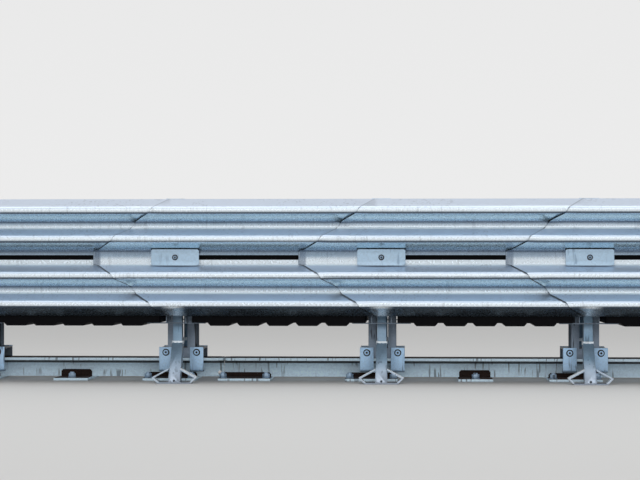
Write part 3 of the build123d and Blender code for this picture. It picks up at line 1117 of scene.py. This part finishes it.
class GUARDRAIL_OT_guide_bolts(Operator):
    """Add the round bolt heads of the guide brackets"""

    bl_idname = "guardrail.guide_bolts"
    bl_label = "Guide bolts"

    bolt_height = 0.126
    from_bracket_end = 0.031
    sides = 24
    facing_front = (pi / 2, 0, 0)
    head_depth = 0.008
    rim_share = 0.62
    socket_depth = 0.005
    socket_edge = 0.0016
    washer_share = 1.4
    washer_thickness = 0.003
    washer_back = 0.003

    def execute(self, context):
        low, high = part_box("rail_guides_3")
        radius = sizes().guide_bolt_radius
        head = cylinder(self.sides, radius, self.head_depth, (0, 0, 0), self.facing_front)
        settle(head)
        select_faces(head, lambda face: face.normal.y < -SQUARE_ON)
        step_faces(radius * self.rim_share, self.socket_depth)
        set_mode("OBJECT")
        bevel(head, width=0.0012, angle=radians(50))
        washer = cylinder(
            self.sides, radius * self.washer_share, self.washer_thickness, (0, self.washer_back, 0),
            self.facing_front)
        bevel(washer, width=0.0006, segments=1)
        settle(washer)
        head = join([head, washer], "guide_bolt")
        reach = high.y + self.head_depth / 2
        across = (high.x - low.x) / 2 - self.from_bracket_end
        places = [
            (place + end * across, side * reach, self.bolt_height)
            for place in FRAME_PLACES for side in (-1, 1) for end in (-1, 1)]
        turns = [0 if place[1] < 0 else pi for place in places]
        piece = copies(head, places, "guide_bolts", turns)
        smooth(piece)
        dress(piece, "guide zinc", "frame_steel")
        socket_face = reach + self.head_depth / 2 - self.socket_edge
        # Painted shade and grime in the bolts' sockets
        refinish(piece, "recess shade and grime", lambda face: abs(face.center.y) < socket_face)
        return {"FINISHED"}


class GUARDRAIL_OT_weld_beads(Operator):
    """Add the weld beads round the knees of the legs"""

    bl_idname = "guardrail.weld_beads"
    bl_label = "Weld beads"

    bead_size = (0.0475, 0.0575)
    lumps = 150
    lump_height = 0.0035

    def execute(self, context):
        middle = Vector((0, 0, KNEE_HEIGHT))
        model = block(middle, (*self.bead_size, sizes().bead_height))
        subdivide(model, cuts=9)
        for vertex in model.data.vertices:
            lump = noise.noise(vertex.co * self.lumps)
            vertex.co += (vertex.co - middle).normalized() * lump * self.lump_height
        bevel(model, width=0.0035, segments=3)
        places = [
            (place, outward * LEG_CENTRE, 0) for place in FRAME_PLACES for outward in SIDES.values()]
        piece = copies(model, places, "knee_weld_beads")
        smooth(piece, angle=radians(60))
        dress(piece, "weld zinc", "frame_steel")
        return {"FINISHED"}


class GUARDRAIL_OT_stage(Operator):
    """Set up the floor, the lamps, the world and the camera"""

    bl_idname = "guardrail.stage"
    bl_label = "Stage"

    floor_size = 120
    horizon_colour = (0.96, 0.96, 0.96)
    zenith_colour = (0.80, 0.80, 0.80)
    sky_strength = 0.88
    lamp_height_share = 0.45
    image_width = 640
    focal_pixels = 1860.4
    sensor_width = 36
    camera_reach = 300
    camera_place = (0.148, -8.5142, 0.5425)
    camera_turn = (pi / 2 + radians(0.638), 0, radians(2.921))

    def execute(self, context):
        self.floor(context)
        self.world(context)
        self.lamp(context, "sky lamp", place=(0.3, -1.2, 4.8), tilt=radians(14), size=9.5, power=125)
        self.lamp(context, "front lamp", place=(0.3, -7.5, 3.4), tilt=radians(68), size=7.0, power=70)
        self.camera(context)
        context.scene.view_settings.view_transform = "Standard"
        return {"FINISHED"}

    def floor(self, context):
        bpy.ops.mesh.primitive_plane_add(size=self.floor_size, location=(0, 0, 0))
        floor = context.object
        floor.name = "studio_floor"
        settle(floor)
        floor.data.materials.append(
            new_material("studio floor", Roughness=0.9, Base_Color=rgba(finishes().floor)))

    def world(self, context):
        world = bpy.data.worlds.new("soft studio")
        world.use_nodes = True
        tree = world.node_tree
        background = tree.nodes["Background"]
        around = axes(tree, tree.nodes.new("ShaderNodeTexCoord").outputs["Generated"])
        above = fade(tree, around["Z"], "sky")
        sky = mix(tree, above, rgba(self.horizon_colour), rgba(self.zenith_colour))
        tree.links.new(sky, background.inputs["Color"])
        background.inputs["Strength"].default_value = self.sky_strength
        context.scene.world = world

    def lamp(self, context, name, place, tilt, size, power):
        light = bpy.data.lights.new(name, "AREA")
        light.shape = "RECTANGLE"
        light.size = size
        light.size_y = size * self.lamp_height_share
        light.energy = power
        lamp = bpy.data.objects.new(name, light)
        lamp.location = place
        lamp.rotation_euler = (tilt, 0, 0)
        context.collection.objects.link(lamp)

    def camera(self, context):
        data = bpy.data.cameras.new("photo camera")
        data.sensor_width = self.sensor_width
        data.lens = self.focal_pixels / self.image_width * self.sensor_width
        data.clip_end = self.camera_reach
        camera = bpy.data.objects.new("photo camera", data)
        camera.location = self.camera_place
        camera.rotation_euler = self.camera_turn
        context.collection.objects.link(camera)
        context.scene.camera = camera


class GUARDRAIL_PT_panel(Panel):
    """Buttons for each group of pieces"""

    bl_idname = "GUARDRAIL_PT_panel"
    bl_label = "Guardrail"
    bl_space_type = "VIEW_3D"
    bl_region_type = "UI"
    bl_category = "Guardrail"

    def draw(self, context):
        for step in STEPS:
            self.layout.operator(step.bl_idname)
        for group in (context.scene.guardrail_sizes, context.scene.guardrail_finishes):
            for key in group.bl_rna.properties.keys():
                if key not in ("rna_type", "name"):
                    self.layout.prop(group, key)


STEPS = (
    GUARDRAIL_OT_stage,
    GUARDRAIL_OT_finishes,
    GUARDRAIL_OT_side_panels,
    GUARDRAIL_OT_slot_covers,
    GUARDRAIL_OT_slot_bolts,
    GUARDRAIL_OT_frames,
    GUARDRAIL_OT_rail,
    GUARDRAIL_OT_window_dirt,
    GUARDRAIL_OT_cartridges,
    GUARDRAIL_OT_anchor_studs,
    GUARDRAIL_OT_guide_bolts,
    GUARDRAIL_OT_weld_beads,
)
CLASSES = (GuardrailSizes, GuardrailFinishes) + STEPS + (GUARDRAIL_PT_panel,)


def register():
    for item in CLASSES:
        bpy.utils.register_class(item)
    bpy.types.Scene.guardrail_sizes = PointerProperty(type=GuardrailSizes)
    bpy.types.Scene.guardrail_finishes = PointerProperty(type=GuardrailFinishes)


def unregister():
    del bpy.types.Scene.guardrail_finishes
    del bpy.types.Scene.guardrail_sizes
    for item in reversed(CLASSES):
        bpy.utils.unregister_class(item)


def main():
    register()
    bpy.ops.guardrail.stage()
    bpy.ops.guardrail.finishes()
    bpy.ops.guardrail.side_panels()
    bpy.ops.guardrail.slot_covers()
    bpy.ops.guardrail.slot_bolts()
    bpy.ops.guardrail.frames()
    bpy.ops.guardrail.rail()
    bpy.ops.guardrail.window_dirt()
    bpy.ops.guardrail.cartridges()
    bpy.ops.guardrail.anchor_studs()
    bpy.ops.guardrail.guide_bolts()
    bpy.ops.guardrail.weld_beads()


if __name__ == "__main__":
    main()
